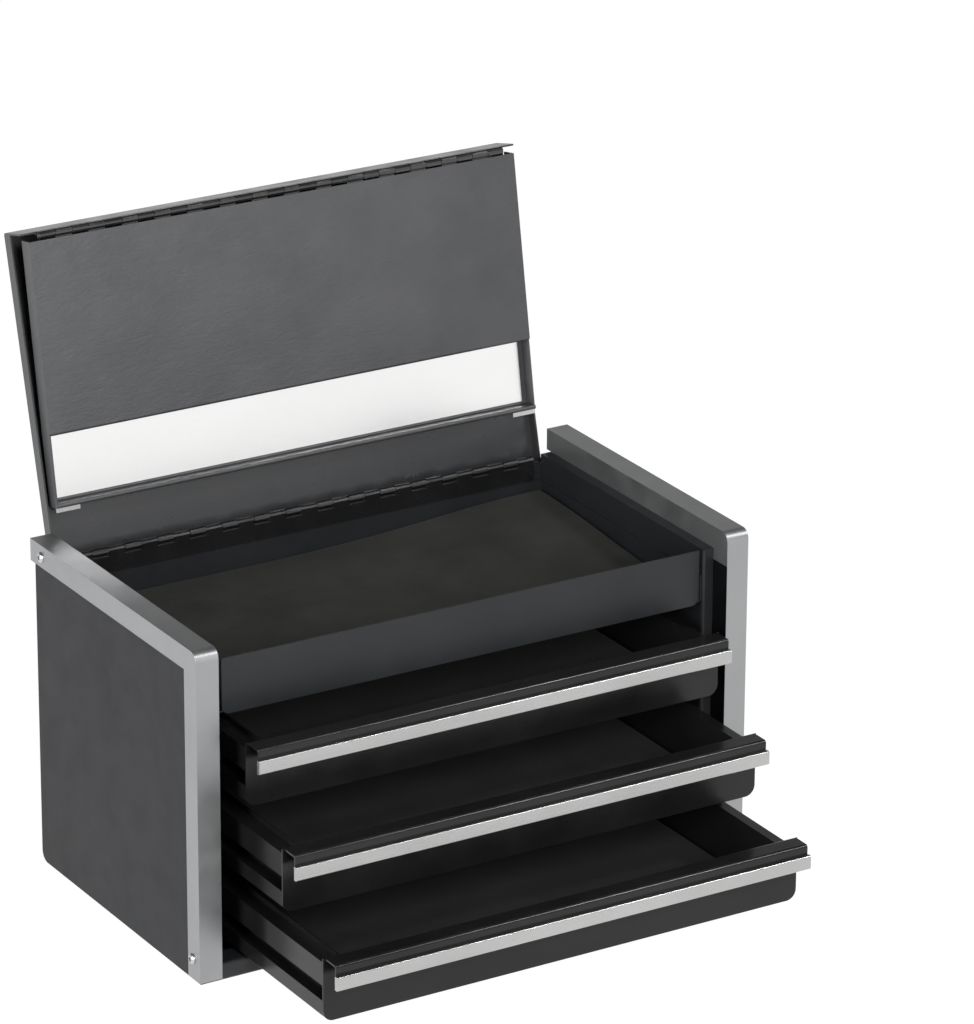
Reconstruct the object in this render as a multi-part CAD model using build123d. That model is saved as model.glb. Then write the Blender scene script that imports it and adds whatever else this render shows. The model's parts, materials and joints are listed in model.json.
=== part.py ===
"""Machinist tool chest: a lidded top tray, three drawers and a cover that folds away into the lid.

Millimetres, +Z up, the front faces -Y. The origin is on the floor, in the middle of the body
between its side panels. The chest stands as it is used: lid up, cover folded against the lid's
inside, and the three drawers drawn out in steps, the lowest one furthest.
"""
import os

from build123d import *

# ---- Body ---------------------------------------------------------------------------------
WIDTH = 340.0            # over the corner trims
DEPTH = 186.0            # from the trims' front to their back ends
HEIGHT = 189.0           # from the floor to the trims' top
SHEET = 1.0              # steel sheet of the body, lid, cover and drawers
BEND = 1.6               # outside radius of a folded edge
TIGHT_BEND = 1.2         # the same in the cover, whose folds are narrow
BACK_OVERHANG = 3.5      # how far the trims reach past the body's back
PANEL_CORNER = 6.0       # lower back corner of the side panels, and foot of the side frames
FLANGE = 12.0            # width of the hidden flanges that join the body's sheets
BACK_FOOT = 29.5         # how far the back panel's foot reaches forward to the base's floor
RAIL_HEIGHT = 10.0       # front rail of the base

# ---- Corner trims -------------------------------------------------------------------------
TRIM_WIDTH = 13.5        # across X
TRIM_LAP = 12.8          # how far the outer leg laps over the side panel
TRIM_CORNER = 5.5        # outer corner between the upright leg and the top leg
TRIM_FOOT = 1.0          # the trims stand on the base's floor
SCREW_HEAD = 6.0         # button heads that hold the trims
SCREW_HEIGHT = 1.7
SCREW_SHANK = 3.0
SCREW_LENGTH = 5.0
SCREW_BACK_INSET = 12.5  # upper screw, from the trim's back end
SCREW_TOP_INSET = 7.0    # upper screw, from the trim's top
SCREW_FRONT_INSET = 8.0  # lower screw, from the trim's front
SCREW_FOOT = 12.6        # lower screw, above the floor

# ---- Side frames and the tray on top ------------------------------------------------------
STILE_WIDTH = 19.2       # from the side panel's outside to the frame's inside
STILE_SETBACK = 13.7     # from the trims' front to the frames' front
LEDGE_DROP = 12.5        # from the trims' top to the frames' top
TRAY_FRONT_HEIGHT = 31.5
TRAY_FRONT_GAP = 2.3     # at each end of the tray's front
TRAY_CORNER = 4.5
TRAY_WALL = 15.5         # low side and back walls of the tray
TRAY_DROP = 30.5         # from the frames' top to the underside of the tray
LINER = 2.5              # felt mats
LINER_GAP = 1.0          # between a mat and the walls about it

# ---- Piano hinges -------------------------------------------------------------------------
HINGE_PITCH = 10.0       # from one knuckle to the next
KNUCKLE = 4.2
KNUCKLE_SIDES = 12       # each knuckle is rolled in this many flats
KNUCKLE_GAP = 0.3        # between neighbouring knuckles
PIN = 2.2
PIN_PLAY = 0.05          # radial
LEAF = 0.8
LEAF_HEIGHT = 11.5       # from the pin
LEAF_RELIEF = 0.4        # between a leaf and the other leaf's knuckles

# ---- Lid ----------------------------------------------------------------------------------
LID_DROP = 2.0           # the shut lid lies below the trims' top
LID_GAP = 2.2            # at each side, to the trims
LID_INSET = 4.0          # the shut lid's front lies behind the trims' front
LID_SIDE = 7.0           # depth of the lid's side flanges
LID_PIN_DROP = 13.5      # from the lid's top to the rear pin
LID_OPEN = 104.2         # angle at which the lid rests on the body's back edge

# ---- Cover --------------------------------------------------------------------------------
COVER_PIN_DROP = 22.0    # from the lid's top to the cover's pin
COVER_FOLD = 94.0        # the hanging cover turns this far to lie against the lid's inside
COVER_FOOT = 16.0        # the shut cover's foot, above the floor
COVER_GAP = 5.1          # at each side, to the trims
COVER_DEPTH = 9.3        # the cover laps the side frames, so its back stays in front of them
COVER_RAIL = 2.6         # height of the rail along the cover's foot
RECESS_HEIGHT = 37.6     # the recess above that rail
PLATE = 0.8              # bright plate in the recess
PLATE_GAP = 1.7          # between the plate and the recess, above and below
PLATE_SIDE_GAP = 3.2     # the same at each end
CATCH_LENGTH = 14.5      # bright angles at both ends of the foot
CATCH_SHEET = 1.2
CATCH_LIP = 2.4
CATCH_DEPTH = 7.0

# ---- Drawers ------------------------------------------------------------------------------
DRAWER_DROP = 51.6       # from the trims' top to the top of the upper drawer's nose
DRAWER_GAP = 8.5         # from one drawer's foot to the next one's top
DRAWER_FOOT_GAP = 0.9    # from the lowest drawer's foot to the base's rail
DRAWER_TRAVEL = (37.3, 75.5, 117.3)   # how far each drawer is drawn out, from the top one down
PULL_SHUT = 0.8          # a shut drawer's pull lies behind the frames' front
PULL_DROP = 5.5          # from the nose's top to the pull
PULL_HEIGHT = 7.75
PULL_THICK = 2.5
PULL_SIDE = 4.1          # from the side frames to the pull's ends
NOSE_SIDE = 4.8          # the same for the nose
NOSE_DEPTH = 11.5        # the nose stands out from the drawer's face, with finger room behind
NOSE_HEIGHT = 14.0
FACE_SIDE = 3.8          # the same for the face
FACE_CORNER = 6.0
BOX_SIDE = 14.8          # from the side frames to the drawer's inner walls
BOX_BACK = 4.0           # from the shut drawer's inner back wall to the back panel
BOX_DROP = 2.0           # from the nose's top to the inner walls' top
BOX_RISE = 0.9           # from the face's foot to the drawer's floor
SLIDE_SIDE = 6.3         # from the side frames to the slides
SLIDE_DROP = 5.0         # from the nose's top to the slides' top
SLIDE_UPPER = 13.5       # height of the slide's upper wall
SLIDE_GROOVE = 8.5       # height of the groove that rides on the runner
RUNNER_PLAY = 0.4        # between a runner and the groove about it
RUNNER_FLANGE = 6.0      # flanges that fix a runner to its side frame
RUNNER_FRONT = 2.0       # from a shut drawer's face to the runner

# ---- Places worked out from the sizes above -------------------------------------------------
front_y = -DEPTH / 2
trim_back_y = DEPTH / 2
back_y = trim_back_y - BACK_OVERHANG
trim_in_x = WIDTH / 2 - TRIM_WIDTH
panel_x = WIDTH / 2 - SHEET
frame_x = panel_x - STILE_WIDTH
wall_x = panel_x - SHEET
stile_y = front_y + STILE_SETBACK
ledge_z = HEIGHT - LEDGE_DROP
tray_floor = ledge_z - TRAY_DROP
base_split = back_y - BACK_FOOT
knuckle_r = KNUCKLE / 2
bore_r = PIN / 2 + PIN_PLAY
hinge_count = int(2 * frame_x / HINGE_PITCH)
hinge_length = HINGE_PITCH * hinge_count

lid_top = HEIGHT - LID_DROP
lid_x = trim_in_x - LID_GAP
lid_front = front_y + LID_INSET
lid_pin_y = back_y - SHEET - LEAF + knuckle_r
lid_pin_z = lid_top - LID_PIN_DROP
lid_back = lid_pin_y + knuckle_r + SHEET
back_top = lid_pin_z - knuckle_r - LEAF_RELIEF

cover_pin_y = lid_front + knuckle_r
cover_pin_z = lid_top - COVER_PIN_DROP
cover_x = trim_in_x - COVER_GAP
recess_foot = COVER_FOOT + COVER_RAIL
recess_top = recess_foot + RECESS_HEIGHT

shut_pull_y = stile_y + PULL_SHUT
shut_box_y = shut_pull_y + PULL_THICK + NOSE_DEPTH + SHEET
box_length = back_y - SHEET - BOX_BACK - shut_box_y
drawer_top = HEIGHT - DRAWER_DROP
last_foot = RAIL_HEIGHT + DRAWER_FOOT_GAP
drawer_count = len(DRAWER_TRAVEL)
face_height = (drawer_top - last_foot - (drawer_count - 1) * DRAWER_GAP) / drawer_count
drawer_pitch = face_height + DRAWER_GAP
pull_x = frame_x - PULL_SIDE
nose_x = frame_x - NOSE_SIDE
face_x = frame_x - FACE_SIDE
box_x = frame_x - BOX_SIDE
slide_x = frame_x - SLIDE_SIDE

lid_axis = Axis((0, lid_pin_y, lid_pin_z), (1, 0, 0))
cover_axis = Axis((0, cover_pin_y, cover_pin_z), (1, 0, 0))


# ---- Shared shapes --------------------------------------------------------------------------
def block(x, y, z):
    """A box between two limits on each axis."""
    size = (x[1] - x[0], y[1] - y[0], z[1] - z[0])
    return Pos(x[0], y[0], z[0]) * Box(*size, align=(Align.MIN, Align.MIN, Align.MIN))


def folded(points, bend=BEND, side=Side.LEFT):
    """Section of a folded sheet: points run along its outside, and the metal lies to one side."""
    path = FilletPolyline(*points, radius=bend)
    return make_face(offset(path, SHEET, side=side, kind=Kind.INTERSECTION, closed=True))


def pressed(points):
    """The same with sharp folds: the metal lies to the left of the points."""
    runs = [(Vector(*end) - Vector(*start)).normalized() for start, end in zip(points, points[1:])]
    lefts = [Vector(-run.Y, run.X) for run in runs]
    inside = []
    for point, before, after in zip(points, lefts[:1] + lefts, lefts + lefts[-1:]):
        inside.append(Vector(*point) + (before + after) * (SHEET / (1 + before.dot(after))))
    return make_face(Polyline(*points, *reversed(inside), close=True))


def along_x(section, start, end):
    """A section drawn in Y and Z, drawn out along X."""
    return Pos(start, 0, 0) * extrude(Plane.YZ * section, end - start)


def along_y(section, start, end):
    """A section drawn in X and Z, drawn out along Y."""
    return Pos(0, end, 0) * extrude(Plane.XZ * section, end - start)


def both_sides(right):
    """A right-hand solid and its mirror image on the left."""
    return Compound(children=[right, mirror(right, about=Plane.YZ)])


def at_side(right, side):
    """A right-hand solid as it stands on one side of the chest."""
    return right if side == "right" else mirror(right, about=Plane.YZ)


def screw_places():
    """Y and Z of each side's two trim screws."""
    upper = (trim_back_y - SCREW_BACK_INSET, HEIGHT - SCREW_TOP_INSET)
    lower = (front_y + SCREW_FRONT_INSET, SCREW_FOOT)
    return upper, lower


def screw_holes():
    """Clearance holes for the right-hand trim screws."""
    hole = Rot(0, 90, 0) * Cylinder(SCREW_SHANK / 2 + PIN_PLAY, TRIM_WIDTH)
    return [Pos(panel_x, y, z) * hole for y, z in screw_places()]


# ---- Body -----------------------------------------------------------------------------------
def side_panel():
    """Flat side sheet, rounded where the trim turns its corner and at its lower back corner."""
    top = HEIGHT - SHEET
    outline = Polyline((front_y + SHEET, 0), (back_y, 0), (back_y, top), (front_y + SHEET, top), close=True)
    face = make_face(outline)
    face = fillet(face.vertices().group_by(Axis.Y)[-1].sort_by(Axis.X)[0], TRIM_CORNER - SHEET)
    face = fillet(face.vertices().group_by(Axis.Y)[0].sort_by(Axis.X)[-1], PANEL_CORNER)
    return along_x(face, wall_x, panel_x) - screw_holes()


def trim():
    """Channel that wraps the side panel's front and top edges, mitred into one piece at the corner."""
    def band(depth_y, depth_z):
        outside = Polyline((front_y, TRIM_FOOT), (front_y, HEIGHT), (trim_back_y, HEIGHT),
                           (trim_back_y, HEIGHT - depth_z), (front_y + depth_y, HEIGHT - depth_z),
                           (front_y + depth_y, TRIM_FOOT), close=True)
        face = make_face(outside)
        return fillet(face.vertices().group_by(Axis.Y)[-1].sort_by(Axis.X)[0], TRIM_CORNER)

    web = folded([(front_y, TRIM_FOOT), (front_y, HEIGHT), (trim_back_y, HEIGHT)], TRIM_CORNER, side=Side.RIGHT)
    outer_leg = along_x(band(TRIM_LAP, TRIM_LAP), panel_x, WIDTH / 2)
    inner_leg = along_x(band(STILE_SETBACK, LEDGE_DROP), trim_in_x, trim_in_x + SHEET)
    return along_x(web, trim_in_x, WIDTH / 2) + outer_leg + inner_leg - screw_holes()


def trim_screw():
    """Button-head screw along +X, its head's seat at the origin."""
    profile = Polyline((0, -SCREW_LENGTH), (SCREW_SHANK / 2, -SCREW_LENGTH), (SCREW_SHANK / 2, 0),
                       (SCREW_HEAD / 2, 0), (SCREW_HEAD / 2, SCREW_HEIGHT / 3),
                       (SCREW_HEAD / 4, SCREW_HEIGHT), (0, SCREW_HEIGHT), close=True)
    return Rot(0, 90, 0) * revolve(Plane.XZ * make_face(profile), Axis.Z)


def trim_screws():
    """Two screws through each trim and side panel."""
    right = [Pos(WIDTH / 2, y, z) * trim_screw() for y, z in screw_places()]
    return Compound(children=right + [mirror(screw, about=Plane.YZ) for screw in right])


def side_frame():
    """Inner side sheet: it carries the runners and the tray, and turns out to a stile and a top ledge."""
    stile = folded([(wall_x, stile_y), (frame_x, stile_y), (frame_x, back_y - SHEET)], side=Side.RIGHT)
    upright = extrude(Pos(0, 0, PANEL_CORNER) * stile, ledge_z - SHEET - PANEL_CORNER)
    ledge = block((frame_x, wall_x), (stile_y, back_y - SHEET), (ledge_z - SHEET, ledge_z))
    return upright + ledge


def back_panel():
    """Back sheet, turned under as a foot and forward as two side flanges."""
    section = folded([(back_y, back_top), (back_y, 0), (base_split, 0)], PANEL_CORNER, side=Side.RIGHT)
    flange = block((wall_x - SHEET, wall_x), (back_y - FLANGE, back_y - SHEET), (FLANGE, back_top))
    return along_x(section, -wall_x, wall_x) + both_sides(flange)


def base_pan():
    """Floor of the body, with side flanges turned up and a boxed rail along the front."""
    rail = folded([(stile_y, RAIL_HEIGHT), (front_y, RAIL_HEIGHT), (front_y, 0), (base_split, 0)])
    floor = block((-wall_x, wall_x), (front_y + SHEET, base_split), (0, SHEET))
    flange = block((wall_x - SHEET, wall_x), (stile_y + SHEET, base_split), (SHEET, FLANGE))
    return along_x(rail, -trim_in_x, trim_in_x) + floor + both_sides(flange)


def top_tray():
    """Floor and low walls of the tray that the lid covers."""
    front = stile_y + SHEET
    back = back_y - SHEET - LEAF
    rim = tray_floor + TRAY_WALL
    section = folded([(-frame_x, rim), (-frame_x, tray_floor), (frame_x, tray_floor), (frame_x, rim)])
    wall = block((SHEET - frame_x, frame_x - SHEET), (back - SHEET, back), (tray_floor, rim))
    return along_y(section, front, back) + wall


def tray_front():
    """Tall front of the tray, rounded at its lower corners."""
    half = frame_x - TRAY_FRONT_GAP
    face = Pos(0, ledge_z - TRAY_FRONT_HEIGHT / 2) * Rectangle(2 * half, TRAY_FRONT_HEIGHT)
    face = fillet(face.vertices().group_by(Axis.Y)[0], TRAY_CORNER)
    return along_y(face, stile_y, stile_y + SHEET)


def tray_liner():
    """Felt mat on the tray's floor."""
    half = frame_x - SHEET - LINER_GAP
    back = back_y - LEAF - 2 * SHEET - LINER_GAP
    floor = tray_floor + SHEET
    return block((-half, half), (stile_y + SHEET + LINER_GAP, back), (floor, floor + LINER))


def runners(number):
    """Pair of hat-section runners on the side frames, one for each side of a drawer."""
    groove_top = drawer_top - number * drawer_pitch - SLIDE_DROP - SLIDE_UPPER
    top = groove_top - RUNNER_PLAY
    foot = groove_top - SLIDE_GROOVE + RUNNER_PLAY
    crown = box_x + SHEET + RUNNER_PLAY
    web_x = frame_x - SHEET
    section = pressed([(web_x, top + RUNNER_FLANGE), (web_x, top), (crown, top),
                       (crown, foot), (web_x, foot), (web_x, foot - RUNNER_FLANGE)])
    return both_sides(along_y(section, shut_box_y + RUNNER_FRONT, back_y - SHEET))


# ---- Piano hinges ---------------------------------------------------------------------------
def hinge_leaf(first, setback=0.0):
    """Leaf that hangs below a pin along X: every second knuckle from first is rolled from its sheet.

    The knuckles touch the plane y = -knuckle_r, and the sheet lies setback behind that plane.
    """
    face_y = -knuckle_r + setback
    sheet_y = (face_y, face_y + LEAF)
    top = -knuckle_r - LEAF_RELIEF
    neck = Polyline((sheet_y[0], top), (sheet_y[0], 0), (sheet_y[1], 0), (sheet_y[1], top), close=True)
    roll = RegularPolygon(knuckle_r, KNUCKLE_SIDES, major_radius=False, rotation=180 / KNUCKLE_SIDES)
    bore = RegularPolygon(bore_r, KNUCKLE_SIDES, major_radius=False, rotation=180 / KNUCKLE_SIDES)
    knuckle = make_face(neck) + roll - bore
    leaf = block((-hinge_length / 2, hinge_length / 2), sheet_y, (-LEAF_HEIGHT, top))
    length = HINGE_PITCH - KNUCKLE_GAP
    for index in range(first, hinge_count, 2):
        middle = (index + 0.5) * HINGE_PITCH - hinge_length / 2
        leaf += along_x(knuckle, middle - length / 2, middle + length / 2)
    return leaf


def hinge_pin():
    """Pin through every knuckle, along X."""
    return Rot(0, 90, 0) * Cylinder(PIN / 2, hinge_length)


# ---- Lid, as it lies when shut ----------------------------------------------------------------
def lid_panel():
    """Top sheet folded down at the front and the back, with shallow side flanges."""
    front_edge = cover_pin_z + knuckle_r + LEAF_RELIEF
    back_edge = lid_pin_z + knuckle_r + LEAF_RELIEF
    section = folded([(lid_front, front_edge), (lid_front, lid_top), (lid_back, lid_top), (lid_back, back_edge)],
                     side=Side.RIGHT)
    side = block((lid_x - SHEET, lid_x), (lid_front + SHEET, lid_back - SHEET), (lid_top - LID_SIDE, lid_top - SHEET))
    return along_x(section, -lid_x, lid_x) + both_sides(side)


# ---- Cover, as it hangs when shut ---------------------------------------------------------------
def cover_flap():
    """Shallow pan: a flat face, a recess for the bright plate, and a rail along the foot."""
    face_top = cover_pin_z - knuckle_r - LEAF_RELIEF
    back = lid_front + COVER_DEPTH
    section = folded([(lid_front, face_top), (lid_front, recess_top), (back - SHEET, recess_top),
                      (back - SHEET, recess_foot), (lid_front, recess_foot), (lid_front, COVER_FOOT),
                      (back, COVER_FOOT)], bend=TIGHT_BEND)
    side = block((cover_x - SHEET, cover_x), (lid_front + SHEET, back), (COVER_FOOT + SHEET, face_top))
    return along_x(section, -cover_x, cover_x) + both_sides(side)


def cover_plate():
    """Bright bare plate on the floor of the cover's recess."""
    half = cover_x - SHEET - PLATE_SIDE_GAP
    floor = lid_front + COVER_DEPTH - SHEET
    return block((-half, half), (floor - PLATE, floor), (recess_foot + PLATE_GAP, recess_top - PLATE_GAP))


def catch_plates():
    """Bright angle plates under both ends of the cover's foot."""
    inner = cover_x - CATCH_LENGTH
    foot_y = lid_front + TIGHT_BEND
    flat = block((inner, cover_x), (foot_y, foot_y + CATCH_DEPTH), (COVER_FOOT - CATCH_SHEET, COVER_FOOT))
    lip = block((inner, cover_x), (foot_y, foot_y + CATCH_SHEET), (COVER_FOOT - CATCH_LIP, COVER_FOOT))
    return both_sides(flat + lip)


# ---- Drawers ------------------------------------------------------------------------------------
class Drawer:
    """One drawer: its number counts from 0 at the top, and it stands as far out as its travel."""

    def __init__(self, number):
        self.top = drawer_top - number * drawer_pitch
        self.foot = self.top - face_height
        self.pull_y = shut_pull_y - DRAWER_TRAVEL[number]
        self.nose_y = self.pull_y + PULL_THICK
        self.face_y = self.nose_y + NOSE_DEPTH
        self.box_y = self.face_y + SHEET
        self.floor = self.foot + BOX_RISE
        self.back_y = self.box_y + box_length

    def front(self):
        """Face that turns forward at its top into a nose, which is the grip."""
        section = folded([(self.nose_y, self.top - NOSE_HEIGHT), (self.nose_y, self.top),
                          (self.box_y, self.top), (self.box_y, self.foot)], side=Side.RIGHT)
        sheet = along_x(section, -face_x, face_x)
        middle = (self.top + self.foot) / 2
        face = Pos(0, middle) * Rectangle(2 * face_x, face_height)
        face = fillet(face.vertices().group_by(Axis.Y)[0], FACE_CORNER)
        nose = Pos(0, middle) * Rectangle(2 * nose_x, face_height)
        return sheet & (along_y(face, self.face_y, self.box_y) + along_y(nose, self.pull_y, self.face_y))

    def pull(self):
        """Bright strip along the nose, with eased long edges."""
        middle = self.top - PULL_DROP - PULL_HEIGHT / 2
        strip = Pos((self.pull_y + self.nose_y) / 2, middle) * Rectangle(PULL_THICK, PULL_HEIGHT)
        strip = fillet(strip.vertices().group_by(Axis.X)[0], PULL_THICK / 4)
        return along_x(strip, -pull_x, pull_x)

    def box(self):
        """Pan with two side walls and a back, open at the front, where the face closes it."""
        rim = self.top - BOX_DROP
        section = folded([(-box_x, rim), (-box_x, self.floor), (box_x, self.floor), (box_x, rim)])
        wall = block((SHEET - box_x, box_x - SHEET), (self.back_y - SHEET, self.back_y), (self.floor, rim))
        return along_y(section, self.box_y, self.back_y) + wall

    def slides(self):
        """Grooved sheets on the box's sides, which ride on the runners."""
        top = self.top - SLIDE_DROP
        groove_top = top - SLIDE_UPPER
        groove_foot = groove_top - SLIDE_GROOVE
        section = pressed([(box_x, self.floor), (slide_x, self.floor), (slide_x, groove_foot),
                           (box_x + SHEET, groove_foot), (box_x + SHEET, groove_top), (slide_x, groove_top),
                           (slide_x, top), (box_x, top)])
        return both_sides(along_y(section, self.box_y, self.back_y))

    def liner(self):
        """Felt mat on the drawer's floor."""
        half = box_x - SHEET - LINER_GAP
        floor = self.floor + SHEET
        length = (self.box_y + LINER_GAP, self.back_y - SHEET - LINER_GAP)
        return block((-half, half), length, (floor, floor + LINER))


# ---- Assembly -----------------------------------------------------------------------------------
def opened(piece):
    """A piece of the shut lid, as it stands when the lid is up."""
    return piece.rotate(lid_axis, -LID_OPEN)


def folded_away(piece):
    """A piece of the hanging cover, as it lies in the raised lid."""
    return opened(piece.rotate(cover_axis, COVER_FOLD))


def build():
    """Every piece of the chest, by the name of its node."""
    rear_pin = Pos(0, lid_pin_y, lid_pin_z)
    front_pin = Pos(0, cover_pin_y, cover_pin_z)
    upside_down = Rot(180, 0, 0)
    turned_up = Rot(0, 180, 0)
    pieces = {
        "back_panel": back_panel(),
        "base_pan": base_pan(),
        "trim_screws": trim_screws(),
        "top_tray": top_tray(),
        "tray_front": tray_front(),
        "tray_liner": tray_liner(),
        "rear_hinge_leaf_body": rear_pin * hinge_leaf(0),
        "rear_hinge_pin": rear_pin * hinge_pin(),
        "rear_hinge_leaf_lid": opened(rear_pin * upside_down * hinge_leaf(1)),
        "lid_panel": opened(lid_panel()),
        "front_hinge_leaf_lid": opened(front_pin * turned_up * hinge_leaf(0, SHEET)),
        "front_hinge_pin": opened(front_pin * hinge_pin()),
        "front_hinge_leaf_cover": folded_away(front_pin * hinge_leaf(1, SHEET)),
        "cover_flap": folded_away(cover_flap()),
        "cover_plate": folded_away(cover_plate()),
        "catch_plates": folded_away(catch_plates()),
    }
    for side in ("left", "right"):
        pieces["side_panel_" + side] = at_side(side_panel(), side)
        pieces["side_frame_" + side] = at_side(side_frame(), side)
        pieces["trim_" + side] = at_side(trim(), side)
    for number in range(drawer_count):
        drawer = Drawer(number)
        name = f"drawer_{number + 1}_"
        pieces[f"runners_{number + 1}"] = runners(number)
        pieces[name + "front"] = drawer.front()
        pieces[name + "pull"] = drawer.pull()
        pieces[name + "box"] = drawer.box()
        pieces[name + "slides"] = drawer.slides()
        pieces[name + "liner"] = drawer.liner()
    return pieces


os.makedirs("parts", exist_ok=True)
for node, piece in build().items():
    export_step(piece, f"parts/{node}.step")
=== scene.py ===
"""Machinist tool chest, opened: its looks, light and camera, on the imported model's frame.

Metres, +Z up, the chest's front faces -Y. The sheet metal, the hinges and the drawers are the
frame's own pieces, with finishes and eased edges. The felt mats and the heads of the trims'
screws are built here, in place of the frame's plain ones.
"""
import json
import math

import bmesh
import bpy
from mathutils import Matrix, Vector, noise


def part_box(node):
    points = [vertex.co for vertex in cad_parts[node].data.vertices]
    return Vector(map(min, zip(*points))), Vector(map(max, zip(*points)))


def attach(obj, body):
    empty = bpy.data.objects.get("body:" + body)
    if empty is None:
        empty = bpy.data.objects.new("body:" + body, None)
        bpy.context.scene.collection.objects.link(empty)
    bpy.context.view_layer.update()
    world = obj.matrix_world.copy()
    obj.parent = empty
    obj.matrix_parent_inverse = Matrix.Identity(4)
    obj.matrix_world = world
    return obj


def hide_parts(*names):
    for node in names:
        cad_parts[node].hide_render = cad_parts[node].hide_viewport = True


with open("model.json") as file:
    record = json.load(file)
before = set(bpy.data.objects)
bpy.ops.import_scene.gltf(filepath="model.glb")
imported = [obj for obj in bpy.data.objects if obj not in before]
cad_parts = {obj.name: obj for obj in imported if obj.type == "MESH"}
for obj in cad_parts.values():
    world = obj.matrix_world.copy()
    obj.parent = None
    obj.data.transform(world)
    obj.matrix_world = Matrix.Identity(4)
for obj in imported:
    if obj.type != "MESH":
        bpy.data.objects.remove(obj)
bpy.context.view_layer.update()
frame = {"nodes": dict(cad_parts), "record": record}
nodes = frame["nodes"]
MM = 0.001

# ---- Camera -------------------------------------------------------------------------------
CAMERA_PLACE = (-1.4932, -2.5631, 1.3798)
CAMERA_AZIMUTH = 31.23       # degrees from +Y towards +X
CAMERA_ELEVATION = -21.66
CAMERA_ROLL = 0.3
LENS = 219.1                 # millimetres, like the sensor's width
SENSOR = 36
FAR_CLIP = 50                # past the end of the floor

# ---- Light and surroundings ---------------------------------------------------------------
FILL = 0.15                  # what surfaces that scatter light get from the horizon
OVERHEAD = 0.2               # how much of the horizon's light comes from straight above
CEILING = 0.12               # what is seen in reflections from above, against 1 at the horizon
SKY_BAND = (0.08, 0.5)       # rise of a ray, from level 0 to upright 1, between horizon and ceiling
FLOOR_REACH = 9.0            # from the middle to each side
FLOOR_GREYS = (0.58, 0.6)
FLOOR_CLOUD = 3              # features per metre, as are the clouds, peels and fibres below
BACKGROUND = 1.16            # the white that the camera and reflections see on the floor
SHADOW = 0.15                # share of the lit floor that shows through it
AIM_HEIGHT = 0.15            # the softboxes point here, on the chest's upright axis
AREA_LIGHTS = {              # place, size and power of each softbox
    "left": ((-1.8, -0.35, 0.35), 1.1, 32),
    "front": ((-0.3, -1.6, 0.95), 0.7, 24),
    "rim": ((1.05, -1.1, 1.6), 0.3, 12),
}

# ---- Patterns in the finishes -------------------------------------------------------------
EVEN = (1, 1, 1)
NOISE_BAND = (0.3, 0.7)      # nearly all noise lies between these
COAT_BAND = (0.35, 0.65)
COAT_CLOUD = 14
COAT_GLOSS = 60
GLOSS_SPREAD = (-0.05, 0.06)  # how far a coat strays from its roughness
COAT_PEEL = 900
COAT_RIPPLE = 260
RIPPLE_DEPTH = 1.5           # times the depth of the peel
BRUSHED_STREAKS = 1500
BRUSHED_CLOUD = 25
CLOUD_STRETCH = (2, 1, 1)
FELT_FIBRES = 1600
FIBRE_DEPTH = 0.3 * MM
FELT_LINT = 220
LINT_DEPTH = 0.2 * MM
FELT_CLOUD = 30

# ---- Edges and trims ----------------------------------------------------------------------
WELD_REACH = 0.01 * MM
EDGE_EASE = 0.15 * MM
EDGE_ANGLE = 40              # degrees at which an edge counts as sharp
BEVEL_STEPS = 2
TRIM_INNER = 156.55 * MM     # the trims' inner legs lie nearer the middle than this
TRIM_TAB_FOOT = 170 * MM     # their silver ends here
LEG_BLACK = (0.02, 0.02, 0.022, 1)

# ---- Felt mats ----------------------------------------------------------------------------
MAT_STEP = 3.0 * MM
MAT_THICK = 1.6 * MM
MAT_EDGE = 0.4 * MM
MAT_EDGE_ANGLE = 60
MAT_WANDER = 0.5 * MM        # how far the cut edges stray, and lie within the floor
WANDER_PATCHES = 25          # per metre
WANDER_FADE = 9              # power by which the straying dies away from the edge inwards
MAT_WAVE = 0.12 * MM         # how far the faces stray to either side of a level
WAVE_PATCHES = 30
WANDER_SEED = 3              # parts a mat's wandering from its waves
TRAY_MAT_LIFT = 8.0 * MM     # its back right corner has curled up
CURL_START = 0.25            # share of the mat's width that stays down
CURL_ACROSS = 2              # powers by which it rises to the right and to the back
CURL_BACK = 1.3

# ---- Trim screws --------------------------------------------------------------------------
SCREW_RADIUS = 3.0 * MM
SCREW_HEIGHT = 1.7 * MM
HEAD_WALL = 0.35             # share of the height that is upright, below the dome
SCREW_SIDES = 36
SCREW_CREASE = 35            # degrees at which the head's shading breaks
SOCKET_RADIUS = 1.15 * MM
SOCKET_RIM = 1.2             # times its radius
SOCKET_DEPTH = 1.1 * MM
SOCKET_CHAMFER = 0.1 * MM
SOCKET_EYE = 0.02 * MM       # hole left in the middle of its floor
DOME_STEPS = 7
DOME_POWER = 1.6             # how slowly the dome turns in from its wall
DOME_REACH = 0.98            # how near the dome comes to the rim before it meets it


# ---- Shader helpers -----------------------------------------------------------------------
def finish_of(name, **sockets):
    """New material with a Principled shader, its plain values set on the shader's own sockets."""
    material = bpy.data.materials.new(name)
    material.use_nodes = True
    shader = material.node_tree.nodes["Principled BSDF"]
    for socket, value in sockets.items():
        shader.inputs[socket.replace("_", " ")].default_value = value
    return material, shader


def add_node(tree, kind, inputs=None, **settings):
    """New shader node, its inputs wired to the outputs of others or set to plain values."""
    node = tree.nodes.new("ShaderNode" + kind)
    for name, value in settings.items():
        setattr(node, name, value)
    for name, value in (inputs or {}).items():
        if isinstance(value, bpy.types.NodeSocket):
            tree.links.new(value, node.inputs[name])
        else:
            node.inputs[name].default_value = value
    return node


def maths(tree, operation, *values):
    """Result of an operation on outputs of other nodes and plain numbers."""
    return add_node(tree, "Math", dict(enumerate(values)), operation=operation).outputs["Value"]


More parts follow.
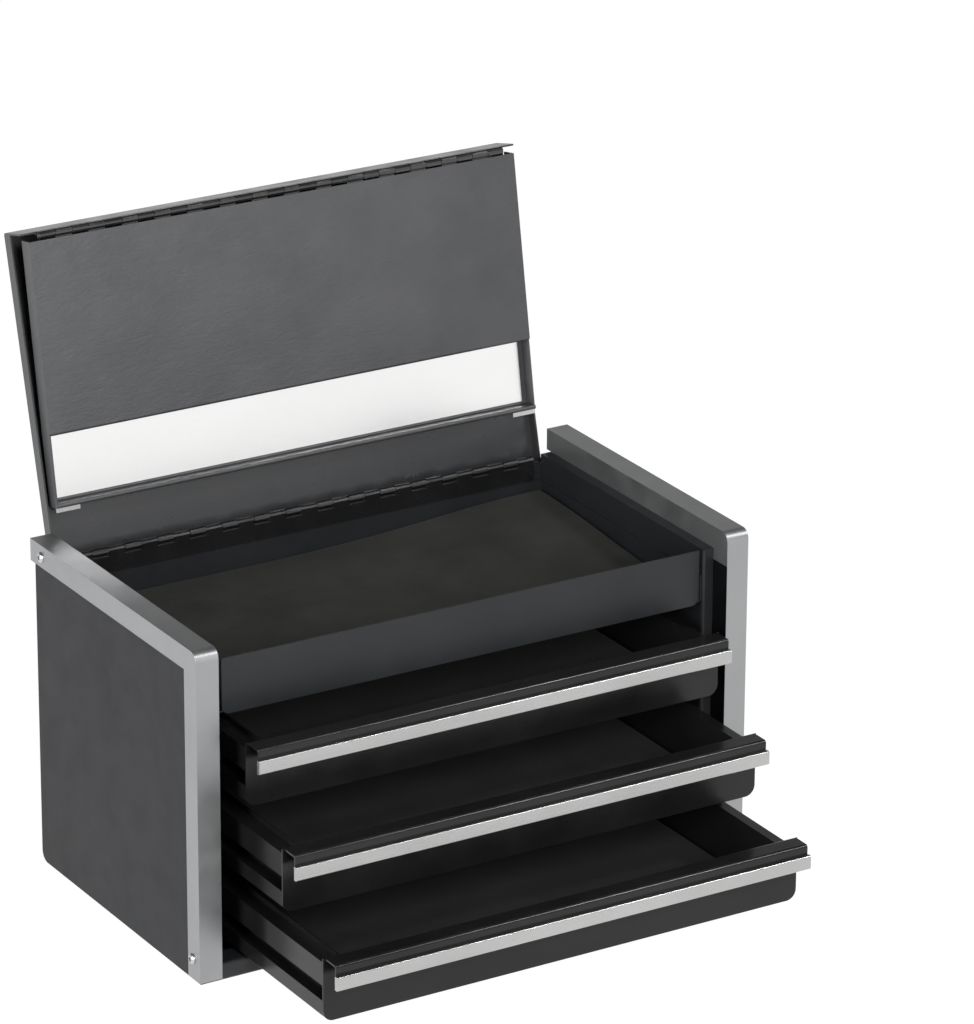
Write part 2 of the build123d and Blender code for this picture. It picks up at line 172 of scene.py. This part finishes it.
def grain(tree, scale, stretch=EVEN, detail=3.0, roughness=0.55):
    """Noise in the object's own space: scale is in features per metre, stretch lengthens them."""
    place = add_node(tree, "TexCoord").outputs["Object"]
    mapped = add_node(tree, "Mapping", {"Vector": place, "Scale": [1 / s for s in stretch]})
    texture = add_node(tree, "TexNoise", {"Vector": mapped.outputs["Vector"], "Scale": scale,
                                          "Detail": detail, "Roughness": roughness})
    return texture.outputs["Fac"]


def two_tone(tree, source, low, high, band=NOISE_BAND):
    """Greys or colours that run from low to high while the source crosses a band."""
    node = add_node(tree, "ValToRGB", {"Fac": source})
    for element, position, tone in zip(node.color_ramp.elements, band, (low, high)):
        element.position = position
        element.color = (*tone, 1) if isinstance(tone, tuple) else (tone, tone, tone, 1)
    return node.outputs["Color"]


def spread(tree, source, low, high):
    """Number that runs from low to high while a noise crosses its band."""
    start, end = NOISE_BAND
    node = add_node(tree, "MapRange", {"Value": source, "From Min": start, "From Max": end,
                                       "To Min": low, "To Max": high})
    return node.outputs["Result"]


def bump(tree, shader, heights):
    """Bumps from several (source, depth) pairs, one on another."""
    below = {}
    for source, depth in heights:
        node = add_node(tree, "Bump", {"Height": source, "Strength": 1.0, "Distance": depth,
                                       **below})
        below = {"Normal": node.outputs["Normal"]}
    tree.links.new(below["Normal"], shader.inputs["Normal"])


# ---- Finishes -----------------------------------------------------------------------------
def coated(name, low, high, roughness, peel, stretch=EVEN, **sockets):
    """Sprayed coat: a fine orange peel on a ripple, and a cloudy colour and gloss."""
    material, shader = finish_of(name, **sockets)
    tree = material.node_tree
    cloud = grain(tree, COAT_CLOUD, detail=5)
    gloss = grain(tree, COAT_GLOSS, detail=4)
    least, most = (roughness + stray for stray in GLOSS_SPREAD)
    tree.links.new(two_tone(tree, cloud, low, high, COAT_BAND), shader.inputs["Base Color"])
    tree.links.new(spread(tree, gloss, least, most), shader.inputs["Roughness"])
    bump(tree, shader, [(grain(tree, COAT_RIPPLE, stretch, detail=2), peel * RIPPLE_DEPTH),
                        (grain(tree, COAT_PEEL, stretch, detail=2), peel)])
    return material


def paint_inner_legs(material):
    """Blackens the trims' inner legs below the tab at their top, by X and Z of the object."""
    tree = material.node_tree
    coat = tree.nodes["Principled BSDF"].inputs["Base Color"]
    place = add_node(tree, "TexCoord").outputs["Object"]
    parts = add_node(tree, "SeparateXYZ", {"Vector": place}).outputs
    inside = maths(tree, "LESS_THAN", maths(tree, "ABSOLUTE", parts["X"]), TRIM_INNER)
    below = maths(tree, "LESS_THAN", parts["Z"], TRIM_TAB_FOOT)
    mix = add_node(tree, "MixRGB", {"Fac": maths(tree, "MULTIPLY", inside, below),
                                    "Color1": coat.links[0].from_socket, "Color2": LEG_BLACK})
    tree.links.new(mix.outputs["Color"], coat)


def brushed(name, low, high, roughness, streak=60, depth=0.01 * MM, vary=0.07):
    """Metal brushed along X: its streaks are in gloss and relief, streak times as long as wide."""
    material, shader = finish_of(name, Metallic=1.0)
    tree = material.node_tree
    streaks = grain(tree, BRUSHED_STREAKS, (streak, 1, 1), detail=4)
    cloud = grain(tree, BRUSHED_CLOUD, CLOUD_STRETCH, detail=4)
    tree.links.new(two_tone(tree, cloud, low, high), shader.inputs["Base Color"])
    tree.links.new(spread(tree, streaks, roughness - vary, roughness + vary),
                   shader.inputs["Roughness"])
    bump(tree, shader, [(streaks, depth)])
    return material


def felted(name, low, high):
    """Matte felt: matted fibres, lint and a slight sheen."""
    material, shader = finish_of(name, Roughness=0.95, Sheen_Weight=0.03, Sheen_Roughness=0.5,
                                 Specular_IOR_Level=0.2)
    tree = material.node_tree
    cloud = grain(tree, FELT_CLOUD, detail=5)
    tree.links.new(two_tone(tree, cloud, low, high), shader.inputs["Base Color"])
    bump(tree, shader, [(grain(tree, FELT_LINT, detail=3), LINT_DEPTH),
                        (grain(tree, FELT_FIBRES, detail=6, roughness=0.7), FIBRE_DEPTH)])
    return material


BLACK = coated("black_powder_coat", (0.014, 0.015, 0.0165), (0.019, 0.020, 0.022),
               roughness=0.36, peel=0.02 * MM, Specular_IOR_Level=0.35)
COVER_BLACK = coated("cover_black_coat", (0.03, 0.031, 0.034), (0.05, 0.051, 0.054),
                     roughness=0.42, peel=0.17 * MM, stretch=(2.5, 1, 1),
                     Specular_IOR_Level=0.8)
DRAWER_BLACK = coated("drawer_black", (0.007, 0.007, 0.0075), (0.012, 0.012, 0.0125),
                      roughness=0.2, peel=0.01 * MM, Specular_IOR_Level=0.35)
HINGE_BLACK = coated("hinge_black", (0.005, 0.005, 0.0055), (0.009, 0.009, 0.0095),
                     roughness=0.24, peel=0.005 * MM, Specular_IOR_Level=1.0)
LID_BLACK = coated("lid_black_coat", (0.02, 0.021, 0.023), (0.028, 0.029, 0.031),
                   roughness=0.3, peel=0.03 * MM, Specular_IOR_Level=0.75)
# Painted shade: the side panels get a darker, less glossy copy of the black powder coat, though
# they are the same paint as the rest of the body
SHADED_PANEL_BLACK = coated("side_panel_shaded_coat", (0.012, 0.0125, 0.0145), (0.016, 0.0165, 0.019),
                     roughness=0.36, peel=0.02 * MM, Specular_IOR_Level=0.15)
SILVER = coated("silver_grey_paint", (0.335, 0.34, 0.345), (0.365, 0.37, 0.375),
                roughness=0.4, peel=0.01 * MM, Metallic=0.9)
paint_inner_legs(SILVER)
ALUMINIUM = brushed("brushed_aluminium", (0.45, 0.45, 0.445), (0.52, 0.52, 0.515),
                    roughness=0.28)
PLATE_STEEL = brushed("bright_plate", (0.9, 0.9, 0.895), (0.93, 0.93, 0.925),
                      roughness=0.22, streak=20, depth=0.0001 * MM, vary=0.01)
STEEL = brushed("bright_steel", (0.5, 0.5, 0.5), (0.62, 0.62, 0.62), roughness=0.24, streak=6)
FELT = felted("black_felt", (0.012, 0.012, 0.0115), (0.02, 0.02, 0.019))
TRAY_FELT = felted("tray_felt", (0.02, 0.02, 0.0185), (0.034, 0.034, 0.031))

FINISH_OF_SLOT = {
    "black_powder_coat": BLACK, "drawer_black": DRAWER_BLACK, "hinge_black": HINGE_BLACK,
    "silver_grey_paint": SILVER, "brushed_aluminium": ALUMINIUM, "bright_steel": STEEL,
    "felt": FELT,
}
FINISH_OF_NODE = {           # pieces that differ from the rest of their slot; the side panels differ only by painted shade
    "cover_flap": COVER_BLACK, "cover_plate": PLATE_STEEL, "lid_panel": LID_BLACK,
    "side_panel_left": SHADED_PANEL_BLACK, "side_panel_right": SHADED_PANEL_BLACK,
}


# ---- Pieces -------------------------------------------------------------------------------
def dress(piece, finish):
    """A piece in one finish."""
    piece.data.materials.clear()
    piece.data.materials.append(finish)


def bevel(piece, width, angle):
    """Rounds the edges that are sharper than an angle in degrees."""
    modifier = piece.modifiers.new("Bevel", "BEVEL")
    modifier.width = width
    modifier.segments = BEVEL_STEPS
    modifier.limit_method = "ANGLE"
    modifier.angle_limit = math.radians(angle)
    return modifier


def ease_edges(piece):
    """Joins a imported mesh's split corners, rounds its sharp edges a little and shades it."""
    piece.modifiers.new("Weld", "WELD").merge_threshold = WELD_REACH
    bevel(piece, EDGE_EASE, EDGE_ANGLE).harden_normals = True
    piece.modifiers.new("Normals", "WEIGHTED_NORMAL").keep_sharp = True


def smooth_mesh(shape):
    """Mesh data of a finished shape, shaded smooth."""
    data = bpy.data.meshes.new("shape")
    shape.to_mesh(data)
    shape.free()
    for face in data.polygons:
        face.use_smooth = True
    return data


def new_piece(name, data, finish, body):
    """A piece built here, which rides on a body of the frame."""
    data.name = name
    piece = bpy.data.objects.new(name, data)
    bpy.context.collection.objects.link(piece)
    dress(piece, finish)
    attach(piece, body)
    return piece


# ---- Felt mats ----------------------------------------------------------------------------
def smooth_step(value):
    """0 below 0, 1 above 1, and an S between."""
    value = max(0.0, min(1.0, value))
    return value * value * (3 - 2 * value)


def mat_corner(low, size, u, v, lift, seed):
    """Point of a mat's underside at shares u and v of its width and depth."""
    x, y = low.x + u * size.x, low.y + v * size.y
    edge = noise.noise(Vector((x * WANDER_PATCHES, y * WANDER_PATCHES, seed + WANDER_SEED)))
    inset = (edge + 1) * MAT_WANDER
    x -= inset * (2 * u - 1) ** WANDER_FADE
    y -= inset * (2 * v - 1) ** WANDER_FADE
    wave = (noise.noise(Vector((x * WAVE_PATCHES, y * WAVE_PATCHES, seed))) + 1) * MAT_WAVE
    across = smooth_step((u - CURL_START) / (1 - CURL_START)) ** CURL_ACROSS
    curl = lift * across * smooth_step(v) ** CURL_BACK
    return Vector((x, y, low.z + wave + curl))


def felt_mat(node, body, finish=FELT, lift=0.0, seed=0.0):
    """Loose mat cut to its floor, with a wandering outline and faces that are not quite flat."""
    low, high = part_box(node)
    size = high - low
    count_x, count_y = round(size.x / MAT_STEP), round(size.y / MAT_STEP)
    shape = bmesh.new()
    bottom, top = {}, {}
    for layer, height in ((bottom, 0.0), (top, MAT_THICK)):
        for i in range(count_x + 1):
            for j in range(count_y + 1):
                corner = mat_corner(low, size, i / count_x, j / count_y, lift, seed)
                layer[i, j] = shape.verts.new(corner + Vector((0, 0, height)))
    for i in range(count_x):
        for j in range(count_y):
            square = ((i, j), (i + 1, j), (i + 1, j + 1), (i, j + 1))
            shape.faces.new([top[spot] for spot in square])
            shape.faces.new([bottom[spot] for spot in (square[0], *square[:0:-1])])
    rim = ([(i, 0) for i in range(count_x)] + [(count_x, j) for j in range(count_y)]
           + [(i, count_y) for i in range(count_x, 0, -1)]
           + [(0, j) for j in range(count_y, 0, -1)])
    for spot, following in zip(rim, rim[1:] + rim[:1]):
        shape.faces.new((bottom[spot], bottom[following], top[following], top[spot]))
    piece = new_piece(node + "_felt", smooth_mesh(shape), finish, body)
    bevel(piece, MAT_EDGE, MAT_EDGE_ANGLE)
    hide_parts(node)


# ---- Trim screws --------------------------------------------------------------------------
def lathe(shape, rings, place):
    """Turned surface about +Z from (radius, height) rings, moved to its place."""
    angles = [2 * math.pi * side / SCREW_SIDES for side in range(SCREW_SIDES)]
    loops = [[shape.verts.new(place @ Vector((radius * math.cos(angle), radius * math.sin(angle),
                                              height))) for angle in angles]
             for radius, height in rings]
    for inner, outer in zip(loops, loops[1:]):
        for side in range(SCREW_SIDES):
            after = (side + 1) % SCREW_SIDES
            shape.faces.new((inner[side], inner[after], outer[after], outer[side]))


def trim_screws():
    """Button heads with sockets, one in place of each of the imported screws' heads."""
    low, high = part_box("trim_screws")
    wall, rim = HEAD_WALL * SCREW_HEIGHT, SOCKET_RIM * SOCKET_RADIUS
    dome = [(SCREW_RADIUS, 0.0), (SCREW_RADIUS, wall)]
    for step in range(1, DOME_STEPS):
        rise = math.sin(step / DOME_STEPS * math.pi / 2)
        inwards = (SCREW_RADIUS - rim) * rise ** DOME_POWER * DOME_REACH
        dome.append((SCREW_RADIUS - inwards, wall + (SCREW_HEIGHT - wall) * rise))
    dome.append((rim, SCREW_HEIGHT))
    floor = SCREW_HEIGHT - SOCKET_DEPTH
    socket = [(rim, SCREW_HEIGHT), (SOCKET_RADIUS, SCREW_HEIGHT - SOCKET_CHAMFER),
              (SOCKET_RADIUS, floor), (SOCKET_EYE, floor)]
    shape = bmesh.new()
    for side, face_x in ((-1, low.x + SCREW_HEIGHT), (1, high.x - SCREW_HEIGHT)):
        turn = Matrix.Rotation(side * math.pi / 2, 4, "Y")
        for y, z in ((low.y + SCREW_RADIUS, low.z + SCREW_RADIUS),
                     (high.y - SCREW_RADIUS, high.z - SCREW_RADIUS)):
            place = Matrix.Translation((face_x, y, z)) @ turn
            lathe(shape, dome, place)
            lathe(shape, socket, place)
    bmesh.ops.recalc_face_normals(shape, faces=shape.faces)
    data = smooth_mesh(shape)
    data.set_sharp_from_angle(angle=math.radians(SCREW_CREASE))
    piece = new_piece("trim_screw_heads", data, STEEL, "chassis")
    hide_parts("trim_screws")


# ---- Surroundings -------------------------------------------------------------------------
def pale_floor():
    """Wide plain floor, white to the camera and in reflections, pale to everything else."""
    data = bpy.data.meshes.new("floor")
    corners = [(x * FLOOR_REACH, y * FLOOR_REACH, 0)
               for x, y in ((-1, -1), (1, -1), (1, 1), (-1, 1))]
    data.from_pydata(corners, [], [range(len(corners))])
    floor = bpy.data.objects.new("floor", data)
    bpy.context.collection.objects.link(floor)
    material, shader = finish_of("pale_floor", Roughness=0.9, Specular_IOR_Level=0.1)
    tree = material.node_tree
    greys = two_tone(tree, grain(tree, FLOOR_CLOUD), *FLOOR_GREYS)
    tree.links.new(greys, shader.inputs["Base Color"])
    path = add_node(tree, "LightPath").outputs
    seen = maths(tree, "MAXIMUM", path["Is Camera Ray"], path["Is Glossy Ray"])
    glow = add_node(tree, "Emission", {"Strength": BACKGROUND})
    choose = add_node(tree, "MixShader", {"Fac": maths(tree, "MULTIPLY", seen, 1 - SHADOW),
                                          1: shader.outputs["BSDF"],
                                          2: glow.outputs["Emission"]})
    tree.links.new(choose.outputs["Shader"], tree.nodes["Material Output"].inputs["Surface"])
    floor.data.materials.append(material)


def surroundings():
    """White at the horizon and dark overhead, and dimmer for surfaces that scatter light."""
    world = bpy.data.worlds.new("studio")
    bpy.context.scene.world = world
    world.use_nodes = True
    tree = world.node_tree
    path = add_node(tree, "LightPath").outputs
    seen = maths(tree, "MAXIMUM", path["Is Camera Ray"], path["Is Glossy Ray"])
    direction = add_node(tree, "TexCoord").outputs["Generated"]
    rise = add_node(tree, "SeparateXYZ", {"Vector": direction}).outputs["Z"]
    mix = add_node(tree, "MixRGB", {
        "Fac": maths(tree, "MAXIMUM", seen, path["Is Transmission Ray"]),
        "Color1": two_tone(tree, rise, FILL, FILL * OVERHEAD, SKY_BAND),
        "Color2": two_tone(tree, rise, 1.0, CEILING, SKY_BAND)})
    background = tree.nodes["Background"]
    tree.links.new(mix.outputs["Color"], background.inputs["Color"])
    background.inputs["Strength"].default_value = 1.0


def softbox(name, place, size, power):
    """Square area light aimed at the chest."""
    data = bpy.data.lights.new(name, "AREA")
    data.energy = power
    data.size = size
    lamp = bpy.data.objects.new(name, data)
    bpy.context.collection.objects.link(lamp)
    lamp.location = place
    aim = Vector((0, 0, AIM_HEIGHT)) - Vector(place)
    lamp.rotation_euler = aim.to_track_quat("-Z", "Y").to_euler()


def camera():
    """Camera at the photograph's place, turned by its azimuth, elevation and small roll."""
    azimuth, elevation, roll = map(math.radians, (CAMERA_AZIMUTH, CAMERA_ELEVATION, CAMERA_ROLL))
    forward = Vector((math.sin(azimuth) * math.cos(elevation),
                      math.cos(azimuth) * math.cos(elevation), math.sin(elevation)))
    level = forward.cross(Vector((0, 0, 1))).normalized()
    above = level.cross(forward)
    right = math.cos(roll) * level + math.sin(roll) * above
    up = -math.sin(roll) * level + math.cos(roll) * above
    turn = Matrix((right, up, -forward)).transposed().to_4x4()
    data = bpy.data.cameras.new("camera")
    data.sensor_fit = "HORIZONTAL"
    data.sensor_width = SENSOR
    data.lens = LENS
    data.clip_end = FAR_CLIP
    eye = bpy.data.objects.new("camera", data)
    bpy.context.collection.objects.link(eye)
    eye.matrix_world = Matrix.Translation(CAMERA_PLACE) @ turn
    bpy.context.scene.camera = eye


# ---- The scene ----------------------------------------------------------------------------
slots = {part["node"]: part["material_slot"] for part in frame["record"]["subparts"]}
for node, piece in nodes.items():
    dress(piece, FINISH_OF_NODE.get(node, FINISH_OF_SLOT[slots[node]]))
    ease_edges(piece)

felt_mat("tray_liner", "chassis", finish=TRAY_FELT, lift=TRAY_MAT_LIFT, seed=1.0)
for number in (1, 2, 3):
    felt_mat(f"drawer_{number}_liner", f"drawer_{number}",
             seed=number * 7.0)
trim_screws()

pale_floor()
surroundings()
for name, (place, size, power) in AREA_LIGHTS.items():
    softbox(name, place, size, power)
camera()
bpy.context.scene.view_settings.view_transform = "Standard"
